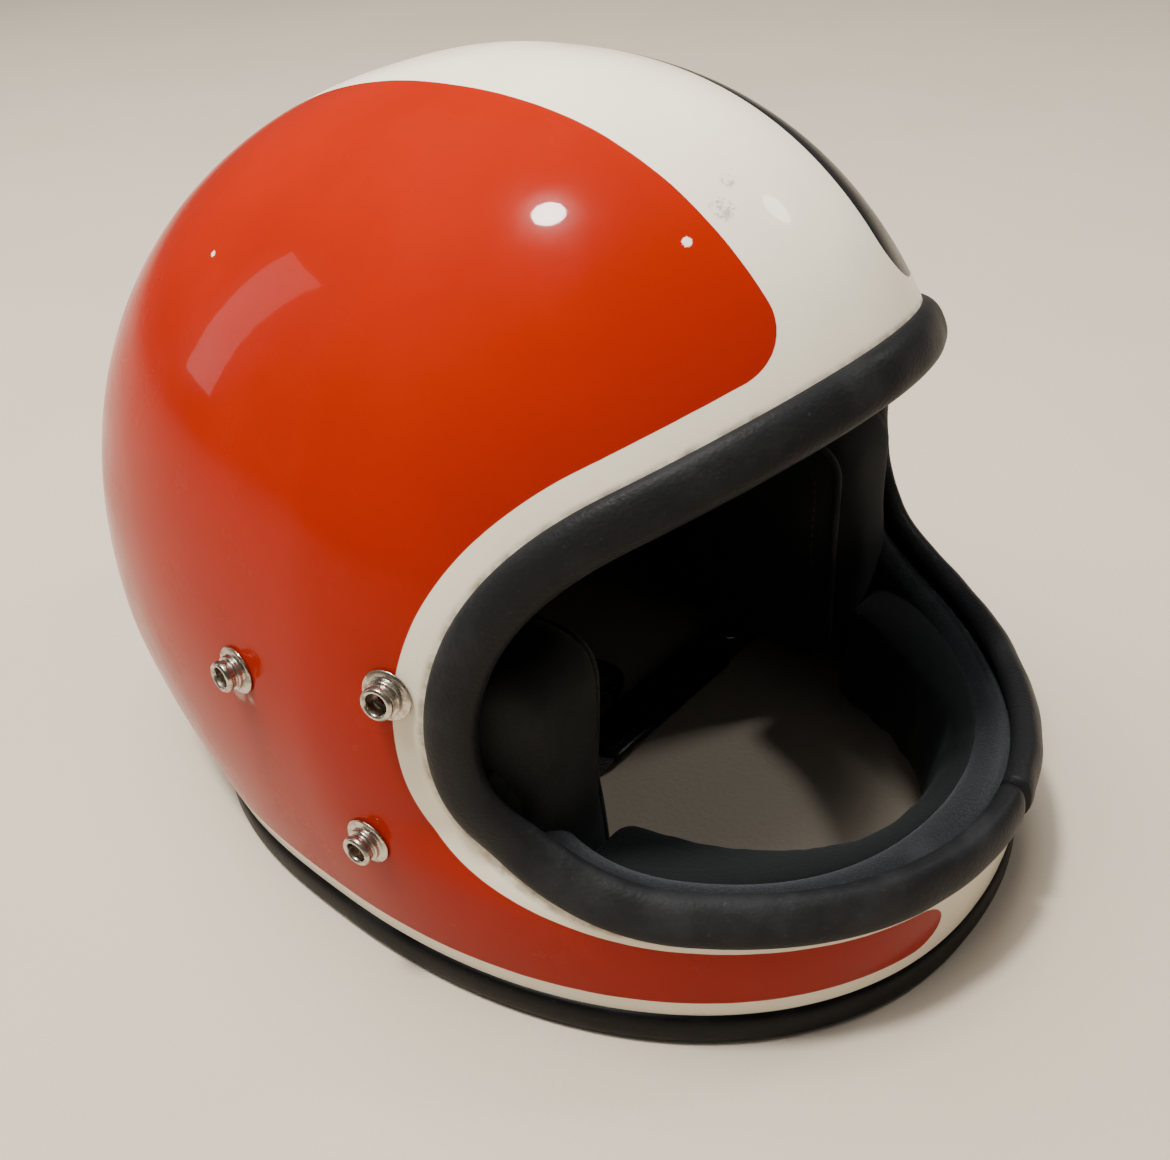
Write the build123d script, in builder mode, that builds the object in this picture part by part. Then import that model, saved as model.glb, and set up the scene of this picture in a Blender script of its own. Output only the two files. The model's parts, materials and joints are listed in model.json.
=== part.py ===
from build123d import *
import os
from math import copysign, cos, pi, radians, sin, tan

# Full-face motorcycle helmet of the 1970s pattern: a moulded shell with a fixed chin bar, a large
# open eyeport edged with a soft trim, snap studs for a shield, a padded interior and a chin strap.
# Millimetres.  +Z is up, the face looks along -Y and the wearer's right side is at -X.
# The helmet stands on its bottom beading at z = 0.

os.makedirs("parts", exist_ok=True)

# ---------------------------------------------------------------- driving dimensions
# The shell is measured from the ear line, an upright line through the widest section.
ear_y = -10.5            # where the ear line stands in the helmet's own frame
half_width = 125.0       # ear line to the side of the shell
rear_reach = 188.0       # ear line to the back of the head
brow_reach = 136.0       # ear line to the forehead, at waist height
chin_reach = 164.3       # ear line to the foremost point of the chin bar
chin_foot_reach = 159.0  # ear line to the chin bar's lower edge
crown_z = 248.0          # top of the shell
waist_z = 69.0           # height of the widest section
chin_z = 47.0            # height of the foremost point of the chin bar
foot_width_share = 0.96  # width at the foot as a share of the waist width
foot_rear_share = 0.60   # rear reach at the foot as a share of the waist's
dome_power = 2.03        # roundness of the sides and the back, 2 is an ellipse
brow_power = 2.42        # roundness of the forehead
front_power = 1.9        # squareness of a section's front half at the waist and above
rear_power = 2.6         # squareness of a section's rear half
foot_front_power = 2.18  # the same two at the foot
foot_rear_power = 2.8

shell_wall = 3.0         # glass-fibre shell
shell_foot_z = 3.0       # lower edge of the shell inside the beading

# Eyeport, as its outer trim border is seen from the side.
port_chin_z = 44.0       # height of the border where it starts to curve up behind the chin bar
port_chin_y = -113.0     # where it starts to curve, from the ear line
port_chin_slope = 4.6    # degrees, the border's rise along the chin bar
port_low_radius = 103.0  # long curve behind the chin bar
port_low_turn = 25.0     # degrees
port_cheek_radius = 46.5  # corner under the cheek
port_cheek_turn = 50.0
port_rear_radius = 85.0  # rear end of the eyeport
port_rear_turn = 27.0
port_brow_radius = 73.0  # upper corner, which takes up the rest of the turn
port_brow_slope = 32.0   # degrees, fall of the brow line towards the rear

trim_width = 14.7        # outer border to inner border
trim_grip = 9.5          # how far the trim reaches over the shell's edge
trim_proud = 3.0         # how far it stands out of the shell
trim_inner = 2.8         # thickness of its inner leg

bead_height = 12.0       # bottom beading
bead_proud = 2.6
bead_inner = 2.4

gap = 0.4                # clearance between layers
foam_side = 29.0         # shell surface to the inside of the shock liner, at the sides
foam_front = 29.0
foam_rear = 49.0
foam_top = 32.0
comfort = 6.0            # comfort liner with its clearance
liner_cheek_z = 121.0    # lower edge of the liner above the cheeks
liner_nape_z = 62.0      # lower edge of the liner at the back
liner_step_y = 36.0      # where it steps down behind the ear, from the ear line

pad_inner_x = 63.0       # inside faces of the cheek pads
pad_strap_gap = 0.5      # outside faces to the heads of the strap's pivots
pad_front_y = -72.0      # from the ear line
pad_rear_y = 30.0
pad_low_z = 14.0
pad_top_z = 118.0
pad_round = 13.0
pad_outer_round = 9.0    # round edge of the outside faces, clear of the strap's bend

neck_half_width = 64.0   # neck opening between the pads
neck_front = 134.0
neck_rear = 96.0
neck_power = 2.4
chin_pad_low_z = 9.0
chin_pad_top_z = 50.0
chin_foam = 9.0          # thickness of the hard foam behind the chin bar
chin_pad_lean = 9.0      # how far the pad's face leans out over its height
nape_front_y = 52.0
nape_low_z = 14.0
nape_top_z = 60.5

# Snap studs: rear, front and lower one of each side, as (from the ear line, height).
stud_places = ((26.0, 96.0), (-36.5, 113.0), (-23.5, 54.8))
stud_flange_r = 7.7
stud_collar_r = 5.5
stud_neck_r = 4.5
stud_lip_r = 5.0
stud_well_r = 3.2
stud_height = 6.4
stud_lift = 0.35         # underside of the flange above the shell at the post
stud_seat = 0.02         # the flange is formed to the shell with this clearance
post_r = 2.5
post_bore_r = 1.7
washer_r = 7.0
washer_thick = 0.7

# Chin strap.
strap_width = 18.0
strap_thick = 2.0
strap_inset = 18.0       # shell surface to the outside face of the upright run
strap_low_z = 4.5        # underside of the run across the neck
strap_bend = 12.0
strap_pivot_z = 88.0
left_strap_y = -16.5     # centre lines, from the ear line
right_strap_y = 9.5
left_strap_end_x = -45.0
right_loop_x = 5.0       # centre of the loop that holds the rings
pivot_r = 3.0
pivot_play = 0.05
pivot_washer = 0.2       # free space on each side of the webbing at its pivot
pivot_head = 1.4         # thickness of the pivot's head
eyelet_r = 5.2
ring_wire = 3.2
ring_pitch = 3.4
ring_half_width = 13.5
ring_length = 24.0
ring_droop = 14.0        # degrees below level, lying on the ground
hanger_width = 16.0
hanger_height = 20.0
sleeve_length = 76.0
sleeve_mid_x = 22.0
sleeve_width = 21.0
sleeve_thick = 6.0

outline_points = 16
form_foot_z = -12.0      # the forms run on below the ground, for clean cuts
shell_levels = (0.0, 12.0, 25.0, 38.0, 47.0, 54.0, 61.0)
dome_angles = (0, 13, 26, 38, 49, 59, 68, 76, 82, 87)
reach_out = 300.0        # longer than the helmet, for cuts right through it
below = -60.0            # under everything


# ---------------------------------------------------------------- the helmet's form
def arch(share, power):
    """Height of a superellipse arch of span 1 at this share of its span."""
    return max(0.0, 1.0 - share ** power) ** (1.0 / power)


def reaches(z, inset):
    """Half width, front reach and rear reach at height z, set in by (side, front, rear, top)."""
    side, front, rear, top = inset
    if z >= waist_z:
        share = min(1.0, (z - waist_z) / (crown_z - top - waist_z))
        round_arch = arch(share, dome_power)
        return (
            (half_width - side) * round_arch,
            (brow_reach - front) * arch(share, brow_power),
            (rear_reach - rear) * round_arch,
        )
    down = (waist_z - z) / waist_z
    width = half_width * (1.0 - (1.0 - foot_width_share) * down**2) - side
    back = rear_reach * (1.0 - (1.0 - foot_rear_share) * down**1.6) - rear
    if z >= chin_z:
        blend = (z - chin_z) / (waist_z - chin_z)
        blend = blend * blend * (3.0 - 2.0 * blend)
        chin = chin_reach + (brow_reach - chin_reach) * blend - front
    else:
        chin = chin_reach + (chin_foot_reach - chin_reach) * ((chin_z - z) / chin_z) ** 2 - front
    return width, chin, back


def outline(z, inset):
    """Points of the form's horizontal outline at height z."""
    width, chin, back = reaches(z, inset)
    low = min(1.0, max(0.0, (waist_z - z) / waist_z))
    front_n = front_power + (foot_front_power - front_power) * low
    rear_n = rear_power + (foot_rear_power - rear_power) * low
    points = []
    for step in range(outline_points):
        angle = 2.0 * pi * step / outline_points
        across = cos(angle)
        along = sin(angle)
        n = rear_n if along > 0 else front_n
        reach = back if along > 0 else chin
        x = copysign(abs(across) ** (2.0 / n), across) * width
        y = copysign(abs(along) ** (2.0 / n), along) * reach
        points.append((x, y + ear_y))
    return points


def helmet_form(inset):
    """Solid of the helmet's form, set in from the shell's surface."""
    rise = crown_z - inset[3] - waist_z
    levels = [form_foot_z, *shell_levels]
    levels += [waist_z + rise * sin(radians(angle)) for angle in dome_angles]
    with BuildPart() as form:
        for z in levels:
            with BuildSketch(Plane.XY.offset(z)):
                with BuildLine():
                    Spline(*outline(z, inset), periodic=True)
                make_face()
        loft()
    return form.part


def even(depth):
    """The same inset on every side."""
    return (depth, depth, depth, depth)


def layer(outer_inset, inner_inset):
    """Dome-shaped layer between two forms, closed by a ring at its foot."""
    outer = helmet_form(outer_inset).faces().sort_by(Axis.Z)
    inner = helmet_form(inner_inset).faces().sort_by(Axis.Z)
    ring = Face(outer[0].outer_wire(), [inner[0].outer_wire()])
    return Solid(Shell([ring, *outer[1:], *inner[1:]]))


def port_block(inset):
    """Block through both sides whose side view is the eyeport, inset from the trim's outer border."""
    rise = radians(port_chin_slope)
    brow_turn = 180.0 - port_brow_slope - port_chin_slope - port_low_turn - port_cheek_turn - port_rear_turn
    start_y = ear_y + port_chin_y - inset * sin(rise)
    start_z = port_chin_z + inset * cos(rise)
    with BuildPart() as block:
        with BuildSketch(Plane.YZ):
            with BuildLine():
                chin = Line(
                    (start_y - reach_out * cos(rise), start_z - reach_out * sin(rise)),
                    (start_y, start_z),
                )
                low = JernArc(chin @ 1, chin % 1, port_low_radius - inset, port_low_turn)
                cheek = JernArc(low @ 1, low % 1, port_cheek_radius - inset, port_cheek_turn)
                rear = JernArc(cheek @ 1, cheek % 1, port_rear_radius - inset, port_rear_turn)
                upper = JernArc(rear @ 1, rear % 1, port_brow_radius - inset, brow_turn)
                brow = Line(upper @ 1, upper @ 1 + (upper % 1) * reach_out)
                Polyline(brow @ 1, ((chin @ 0).X, (brow @ 1).Y), chin @ 0)
            make_face()
        extrude(amount=reach_out, both=True)
    return block.part


def slab(low_z, high_z, low_y=-reach_out, high_y=reach_out, half_x=reach_out):
    """Plain block for keeping or cutting a range of heights and depths."""
    with BuildPart() as block:
        with BuildSketch(Plane.XY.offset(low_z)):
            with Locations((0, (low_y + high_y) / 2)):
                Rectangle(2 * half_x, high_y - low_y)
        extrude(amount=high_z - low_z)
    return block.part


def neck_outline(widen):
    """Points of the neck opening's outline between the pads, widened all round."""
    points = []
    for step in range(outline_points):
        angle = 2.0 * pi * step / outline_points
        across = cos(angle)
        along = sin(angle)
        reach = (neck_rear if along > 0 else neck_front) + widen
        x = copysign(abs(across) ** (2.0 / neck_power), across) * (neck_half_width + widen)
        y = copysign(abs(along) ** (2.0 / neck_power), along) * reach
        points.append((x, y + ear_y))
    return points


def neck_block():
    """Upright column through the neck opening."""
    with BuildPart() as block:
        with BuildSketch(Plane.XY.offset(below)):
            with BuildLine():
                Spline(*neck_outline(0.0), periodic=True)
            make_face()
        extrude(amount=reach_out)
    return block.part


def side_x(along, z):
    """Distance of the shell's side from the middle plane, at a place from the ear line and a height."""
    width, chin, back = reaches(z, even(0.0))
    low = min(1.0, max(0.0, (waist_z - z) / waist_z))
    front_n = front_power + (foot_front_power - front_power) * low
    rear_n = rear_power + (foot_rear_power - rear_power) * low
    n = rear_n if along > 0 else front_n
    share = abs(along) / (back if along > 0 else chin)
    return width * (1.0 - share**n) ** (1.0 / n)


def stud_plane(along, z, side):
    """Plane on the shell at a snap stud, its Z axis out of the shell.  side is -1 for the right."""
    step = 0.5
    slope_y = (side_x(along + step, z) - side_x(along - step, z)) / (2 * step)
    slope_z = (side_x(along, z + step) - side_x(along, z - step)) / (2 * step)
    return Plane(
        origin=(side * side_x(along, z), along + ear_y, z),
        x_dir=(side * slope_y, 1, 0),
        z_dir=(side, -slope_y, -slope_z),
    )


sides = {"right": -1, "left": 1}
under_shell = shell_wall + gap
under_trim = shell_wall + trim_inner + gap
under_bead = shell_wall + bead_inner + gap
strap_outer_x = half_width - strap_inset
strap_inner_x = strap_outer_x - strap_thick
pad_outer_x = strap_inner_x - pivot_washer - pivot_head - pad_strap_gap
foam_inset = (foam_side, foam_front, foam_rear, foam_top)
comfort_inset = tuple(depth + gap for depth in foam_inset)
head_inset = tuple(depth + comfort for depth in foam_inset)

# Room in the soft layers around the snap studs' inner ends.
stud_pockets = []
for side in sides.values():
    for along, z in stud_places:
        with BuildPart() as pocket:
            with BuildSketch(stud_plane(along, z, side)):
                Circle(washer_r + 1.5)
            extrude(amount=-(shell_wall + 3.5))
        stud_pockets.append(pocket.part)

# ---------------------------------------------------------------- shell and edgings
with BuildPart() as outer_shell:
    add(layer(even(0.0), even(shell_wall)))
    add(slab(below, shell_foot_z), mode=Mode.SUBTRACT)
    add(port_block(trim_grip), mode=Mode.SUBTRACT)
    for side in sides.values():
        for along, z in stud_places:
            with BuildSketch(stud_plane(along, z, side)):
                Circle(post_r + 0.1)
            extrude(amount=12.0, both=True, mode=Mode.SUBTRACT)
outer_shell.part.label = "outer_shell"
export_step(outer_shell.part, "parts/outer_shell.step")

with BuildPart() as eyeport_trim:
    add(layer(even(-trim_proud), even(shell_wall + trim_inner)))
    add(port_block(0.0), mode=Mode.INTERSECT)
    add(port_block(trim_width), mode=Mode.SUBTRACT)
    add(outer_shell.part, mode=Mode.SUBTRACT)
eyeport_trim.part.label = "eyeport_trim"
export_step(eyeport_trim.part, "parts/eyeport_trim.step")

with BuildPart() as bottom_beading:
    add(layer(even(-bead_proud), even(shell_wall + bead_inner)))
    add(slab(0.0, bead_height), mode=Mode.INTERSECT)
    add(outer_shell.part, mode=Mode.SUBTRACT)
bottom_beading.part.label = "bottom_beading"
export_step(bottom_beading.part, "parts/bottom_beading.step")

# ---------------------------------------------------------------- shock liner and soft lining
liner_rear_y = ear_y + liner_step_y
port_behind = port_block(-1.5)

with BuildPart() as shock_liner:
    add(layer(even(under_shell), foam_inset))
    add(slab(below, liner_cheek_z, high_y=liner_rear_y), mode=Mode.SUBTRACT)
    add(slab(below, liner_nape_z), mode=Mode.SUBTRACT)
    add(port_behind, mode=Mode.SUBTRACT)
    for pocket in stud_pockets:
        add(pocket, mode=Mode.SUBTRACT)
shock_liner.part.label = "shock_liner"
export_step(shock_liner.part, "parts/shock_liner.step")

with BuildPart() as comfort_liner:
    add(layer(comfort_inset, head_inset))
    add(slab(below, liner_cheek_z, high_y=liner_rear_y), mode=Mode.SUBTRACT)
    add(slab(below, liner_nape_z), mode=Mode.SUBTRACT)
    add(port_behind, mode=Mode.SUBTRACT)
comfort_liner.part.label = "comfort_liner"
export_step(comfort_liner.part, "parts/comfort_liner.step")

with BuildPart() as brow_pad:
    add(layer(even(under_trim), head_inset))
    add(port_block(-1.1), mode=Mode.INTERSECT)
    add(port_block(trim_width - 1.5), mode=Mode.SUBTRACT)
    add(slab(below, liner_cheek_z), mode=Mode.SUBTRACT)
brow_pad.part.label = "brow_pad"
export_step(brow_pad.part, "parts/brow_pad.step")

with BuildPart() as nape_pad:
    add(helmet_form(even(under_bead)))
    add(slab(nape_low_z, nape_top_z, low_y=ear_y + nape_front_y), mode=Mode.INTERSECT)
    add(neck_block(), mode=Mode.SUBTRACT)
nape_pad.part.label = "nape_pad"
export_step(nape_pad.part, "parts/nape_pad.step")

for name, side in sides.items():
    with BuildPart() as cheek_pad:
        with BuildSketch(Plane.YZ.offset(side * pad_inner_x)):
            with Locations((ear_y + (pad_front_y + pad_rear_y) / 2, (pad_low_z + pad_top_z) / 2)):
                RectangleRounded(pad_rear_y - pad_front_y, pad_top_z - pad_low_z, pad_round)
        extrude(amount=side * (pad_outer_x - pad_inner_x))
        inside_rim = cheek_pad.faces().sort_by(Axis.X)[-1 if side < 0 else 0].edges()
        fillet(inside_rim, radius=pad_round - 1.0)
        outside_rim = cheek_pad.faces().sort_by(Axis.X)[0 if side < 0 else -1].edges()
        fillet(outside_rim, radius=pad_outer_round)
        add(helmet_form(even(under_trim)), mode=Mode.INTERSECT)
        for pocket in stud_pockets:
            add(pocket, mode=Mode.SUBTRACT)
    cheek_pad.part.label = "cheek_pad_" + name
    export_step(cheek_pad.part, "parts/cheek_pad_" + name + ".step")

chin_room = slab(chin_pad_low_z, chin_pad_top_z, high_y=ear_y + pad_front_y - 1.5)
foam_face = under_trim + chin_foam

with BuildPart() as chin_bar_foam:
    add(layer(even(under_trim), even(foam_face)))
    add(chin_room, mode=Mode.INTERSECT)
chin_bar_foam.part.label = "chin_bar_foam"
export_step(chin_bar_foam.part, "parts/chin_bar_foam.step")

# The pad's face leans out from the neck opening at its foot to a slim edge at its top.
with BuildPart() as chin_face:
    for z, widen in ((below, 0.0), (chin_pad_low_z, 0.0), (chin_pad_top_z + 10.0, chin_pad_lean)):
        with BuildSketch(Plane.XY.offset(z)):
            with BuildLine():
                Spline(*neck_outline(widen), periodic=True)
            make_face()
    loft(ruled=True)

with BuildPart() as chin_bar_pad:
    add(helmet_form(even(foam_face + gap)))
    add(chin_room, mode=Mode.INTERSECT)
    add(chin_face.part, mode=Mode.SUBTRACT)
chin_bar_pad.part.label = "chin_bar_pad"
export_step(chin_bar_pad.part, "parts/chin_bar_pad.step")

# ---------------------------------------------------------------- snap studs
flange_top = stud_lift + 1.0
collar_top = flange_top + 1.7
neck_top = collar_top + 1.2
well_floor = flange_top + 0.3
shell_outside = helmet_form(even(-stud_seat))
shell_inside = helmet_form(even(shell_wall + stud_seat))

for name, side in sides.items():
    places = [stud_plane(along, z, side) for along, z in stud_places]

    # Domed flange, stepped barrel and rolled lip around an open well.
    with BuildPart() as snap_studs:
        for place in places:
            for low, high, radius in (
                (-1.0, flange_top, stud_flange_r),
                (flange_top, collar_top, stud_collar_r),
                (collar_top, neck_top, stud_neck_r),
                (neck_top, stud_height, stud_lip_r),
            ):
                with BuildSketch(place.offset(low)):
                    Circle(radius)
                extrude(amount=high - low)
            with BuildSketch(place.offset(well_floor)):
                Circle(stud_well_r)
            extrude(amount=stud_height, mode=Mode.SUBTRACT)
            with BuildSketch(place.offset(-2.0)):
                Circle(post_r + 0.05)
            extrude(amount=stud_height, mode=Mode.SUBTRACT)
        add(shell_outside, mode=Mode.SUBTRACT)
    snap_studs.part.label = "snap_studs_" + name
    export_step(snap_studs.part, "parts/snap_studs_" + name + ".step")

    # Tubular rivet from the well through the shell to its clinched end.
    clinch_z = -(shell_wall + 0.35 + washer_thick)
    with BuildPart() as snap_posts:
        for place in places:
            with BuildSketch(place.offset(clinch_z - 0.6)):
                Circle(post_r + 1.2)
            extrude(amount=0.6)
            with BuildSketch(place.offset(clinch_z)):
                Circle(post_r)
            extrude(amount=well_floor - clinch_z + 0.05)
            with BuildSketch(place.offset(well_floor + 0.05)):
                Circle(stud_well_r - 0.1)
            extrude(amount=0.7)
            with BuildSketch(place):
                Circle(post_bore_r)
            extrude(amount=2 * stud_height, both=True, mode=Mode.SUBTRACT)
    snap_posts.part.label = "snap_posts_" + name
    export_step(snap_posts.part, "parts/snap_posts_" + name + ".step")

    with BuildPart() as snap_washers:
        for place in places:
            with BuildSketch(place.offset(clinch_z + 0.02)):
                Circle(washer_r)
                Circle(post_r + 0.1, mode=Mode.SUBTRACT)
            extrude(amount=washer_thick)
        add(shell_inside, mode=Mode.INTERSECT)
    snap_washers.part.label = "snap_washers_" + name
    export_step(snap_washers.part, "parts/snap_washers_" + name + ".step")

# ---------------------------------------------------------------- chin strap
strap_head_z = strap_pivot_z + strap_width / 2
strap_places = {"right": ear_y + right_strap_y, "left": ear_y + left_strap_y}
strap_ends = {"right": -right_loop_x, "left": left_strap_end_x}
loop_bore_r = ring_pitch / 2 + ring_wire / 2 + 0.15
loop_outer_r = loop_bore_r + strap_thick
loop_z = strap_low_z + loop_outer_r


def across(y):
    """Upright plane across the helmet at depth y, its first axis to the wearer's left."""
    return Plane(origin=(0, y, 0), x_dir=(1, 0, 0), z_dir=(0, -1, 0))


for name, side in sides.items():
    strap_y = strap_places[name]

    # Bracket on the shell's inside: a foot that follows the wall and a boss for the pivot.
    boss_x = strap_outer_x + pivot_washer
    foot_x = side_x(strap_y - ear_y, strap_pivot_z) - shell_wall - 3.5
    with BuildPart() as strap_hanger:
        with BuildSketch(Plane.YZ.offset(side * foot_x)):
            with Locations((strap_y, strap_pivot_z)):
                RectangleRounded(hanger_width, hanger_height, 5.0)
        extrude(amount=side * 12.0)
        with BuildSketch(Plane.YZ.offset(side * boss_x)):
            with Locations((strap_y, strap_pivot_z)):
                Circle(6.5)
        extrude(amount=side * (foot_x - boss_x + 1.0))
        add(helmet_form(even(shell_wall + 0.05)), mode=Mode.INTERSECT)
        with BuildSketch(Plane.YZ.offset(side * (boss_x - 1.0))):
            with Locations((strap_y, strap_pivot_z)):
                Circle(pivot_r + 0.02)
        extrude(amount=side * 8.0, mode=Mode.SUBTRACT)
    strap_hanger.part.label = "strap_hanger_" + name
    export_step(strap_hanger.part, "parts/strap_hanger_" + name + ".step")

    head_x = strap_inner_x - pivot_washer
    with BuildPart() as strap_rivet:
        with BuildSketch(Plane.YZ.offset(side * head_x)):
            with Locations((strap_y, strap_pivot_z)):
                Circle(pivot_r + 3.2)
        extrude(amount=-side * pivot_head)
        with BuildSketch(Plane.YZ.offset(side * head_x)):
            with Locations((strap_y, strap_pivot_z)):
                Circle(pivot_r)
        extrude(amount=side * (boss_x + 6.5 - head_x))
    strap_rivet.part.label = "strap_rivet_" + name
    export_step(strap_rivet.part, "parts/strap_rivet_" + name + ".step")

    with BuildPart() as strap_eyelet:
        with BuildSketch(Plane.YZ.offset(side * strap_inner_x)):
            with Locations((strap_y, strap_pivot_z)):
                Circle(eyelet_r)
                Circle(pivot_r + pivot_play, mode=Mode.SUBTRACT)
        extrude(amount=side * strap_thick)
    strap_eyelet.part.label = "strap_eyelet_" + name
    export_step(strap_eyelet.part, "parts/strap_eyelet_" + name + ".step")

    # Webbing: an upright run between pad and shell, a bend and a run across the neck.
    end_x = strap_ends[name]
    with BuildPart() as strap:
        with BuildSketch(across(strap_y)):
            with BuildLine():
                outside = Line((strap_outer_x, strap_head_z), (strap_outer_x, strap_low_z + strap_bend))
                low_bend = JernArc(outside @ 1, outside % 1, strap_bend, -90)
                underside = Line(low_bend @ 1, (end_x, strap_low_z))
                end = Line(underside @ 1, (end_x, strap_low_z + strap_thick))
                inner_bend = strap_bend - strap_thick
                top_side = Line(end @ 1, (strap_outer_x - strap_bend, strap_low_z + strap_thick))
                high_bend = JernArc(top_side @ 1, top_side % 1, inner_bend, 90)
                Polyline(high_bend @ 1, (strap_inner_x, strap_head_z), outside @ 0)
            make_face()
        extrude(amount=strap_width / 2, both=True)
        with BuildSketch(Plane.YZ.offset(strap_inner_x - 1.0)):
            with Locations((strap_y, strap_pivot_z)):
                Rectangle(strap_width + 2.0, strap_width + 2.0)
            with Locations((strap_y, strap_pivot_z - strap_width)):
                Rectangle(strap_width + 2.0, strap_width + 2.0, mode=Mode.SUBTRACT)
            with Locations((strap_y, strap_pivot_z)):
                Circle(strap_width / 2, mode=Mode.SUBTRACT)
            with Locations((strap_y, strap_pivot_z - strap_width / 4)):
                Rectangle(strap_width, strap_width / 2, mode=Mode.SUBTRACT)
            with Locations((strap_y, strap_pivot_z)):
                Circle(eyelet_r)
        extrude(amount=strap_thick + 2.0, mode=Mode.SUBTRACT)
        if name == "right":
            with BuildSketch(across(strap_y)):
                with Locations((-right_loop_x, loop_z)):
                    Circle(loop_outer_r)
            extrude(amount=strap_width / 2, both=True)
            with BuildSketch(across(strap_y)):
                with Locations((-right_loop_x, loop_z)):
                    Circle(loop_bore_r)
            extrude(amount=strap_width / 2, both=True, mode=Mode.SUBTRACT)
    strap_part = strap.part if side > 0 else strap.part.mirror(Plane.YZ)
    strap_part.label = "strap_" + name
    export_step(strap_part, "parts/strap_" + name + ".step")

# Two flat D-shaped rings, one on the other, their straight bars in the right strap's loop.
ring_mid_y = strap_places["right"]
ring_level = Plane(
    origin=(right_loop_x, ring_mid_y, loop_z),
    x_dir=(cos(radians(ring_droop)), 0, -sin(radians(ring_droop))),
    z_dir=(sin(radians(ring_droop)), 0, cos(radians(ring_droop))),
)
bow_r = ring_half_width - ring_wire / 2
bow_x = ring_length - ring_wire - bow_r
for name, height in (("upper", ring_pitch / 2), ("lower", -ring_pitch / 2)):
    with BuildPart() as d_ring:
        with BuildLine(ring_level.offset(height)):
            bar = Line((0, -bow_r), (0, bow_r))
            far_side = Line((0, bow_r), (bow_x, bow_r))
            bow = RadiusArc((bow_x, bow_r), (bow_x, -bow_r), bow_r)
            near_side = Line((bow_x, -bow_r), (0, -bow_r))
        with BuildSketch(Plane(origin=bar @ 0.5, z_dir=bar % 0.5)):
            Circle(ring_wire / 2)
        sweep(transition=Transition.RIGHT)
    d_ring.part.label = "d_ring_" + name
    export_step(d_ring.part, "parts/d_ring_" + name + ".step")

# Padded sleeve around the left strap, and the snap that parks the strap's loose end.
sleeve_y = strap_places["left"]
sleeve_mid_z = strap_low_z + strap_thick / 2
with BuildPart() as strap_sleeve:
    with BuildSketch(Plane.YZ.offset(sleeve_mid_x - sleeve_length / 2)):
        with Locations((sleeve_y, sleeve_mid_z)):
            RectangleRounded(sleeve_width, sleeve_thick, sleeve_thick / 2 - 0.2)
            Rectangle(strap_width + 0.3, strap_thick + 0.3, mode=Mode.SUBTRACT)
    extrude(amount=sleeve_length)
strap_sleeve.part.label = "strap_sleeve"
export_step(strap_sleeve.part, "parts/strap_sleeve.step")

for name, x, radius, height in (("cap", -36.0, 6.2, 3.0), ("stud", 72.0, 5.6, 2.4)):
    with BuildPart() as strap_snap:
        with BuildSketch(Plane.XY.offset(strap_low_z + strap_thick + 0.02)):
            with Locations((x, sleeve_y)):
                Circle(radius)
        extrude(amount=height)
        upper_rim = strap_snap.faces().sort_by(Axis.Z)[-1].edges()
        fillet(upper_rim, radius=1.0)
    strap_snap.part.label = "strap_snap_" + name
    export_step(strap_snap.part, "parts/strap_snap_" + name + ".step")
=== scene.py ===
import bpy
import bmesh
import numpy as np
from mathutils import Matrix, Vector
from mathutils.bvhtree import BVHTree
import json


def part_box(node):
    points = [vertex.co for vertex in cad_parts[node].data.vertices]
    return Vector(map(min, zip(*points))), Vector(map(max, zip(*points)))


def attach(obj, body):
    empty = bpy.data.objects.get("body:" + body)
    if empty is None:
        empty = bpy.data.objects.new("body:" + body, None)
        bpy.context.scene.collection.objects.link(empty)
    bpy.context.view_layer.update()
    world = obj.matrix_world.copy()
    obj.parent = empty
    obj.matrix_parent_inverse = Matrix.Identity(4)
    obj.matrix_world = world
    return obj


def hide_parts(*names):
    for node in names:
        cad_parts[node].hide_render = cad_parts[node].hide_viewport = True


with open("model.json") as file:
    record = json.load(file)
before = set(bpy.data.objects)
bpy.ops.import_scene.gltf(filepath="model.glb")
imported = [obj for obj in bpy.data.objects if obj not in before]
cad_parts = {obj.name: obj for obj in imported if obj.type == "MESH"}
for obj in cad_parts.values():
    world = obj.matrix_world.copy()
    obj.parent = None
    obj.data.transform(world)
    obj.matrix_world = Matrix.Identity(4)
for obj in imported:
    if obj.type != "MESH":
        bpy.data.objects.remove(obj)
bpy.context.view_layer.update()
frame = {"nodes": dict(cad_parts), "record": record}
nodes = frame["nodes"]
mounts = {mount["name"]: mount for mount in frame["record"]["mounts"]}

# ---------------------------------------------------------------- the helmet's form, in metres
MM = 0.001
shell_low, shell_high = (np.array(corner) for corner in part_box("outer_shell"))
EAR_Y = -10.5 * MM                     # the upright line through the widest section
HALF_WIDTH = shell_high[0]
CROWN_Z = shell_high[2]
REAR_REACH = shell_high[1] - EAR_Y
CHIN_REACH = EAR_Y - shell_low[1]
BROW_REACH = 136.0 * MM
CHIN_FOOT_REACH = CHIN_REACH - 5.3 * MM
WAIST_Z = 69.0 * MM
CHIN_Z = 47.0 * MM
FOOT_WIDTH_SHARE = 0.96
FOOT_REAR_SHARE = 0.60
DOME_POWER = 2.03
BROW_POWER = 2.42
FRONT_POWERS = (1.9, 2.18)             # squareness of the front half at the waist and at the foot
REAR_POWERS = (2.6, 2.8)
FOOT_Z = 3.0 * MM
SHELL_WALL = 3.0 * MM

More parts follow.
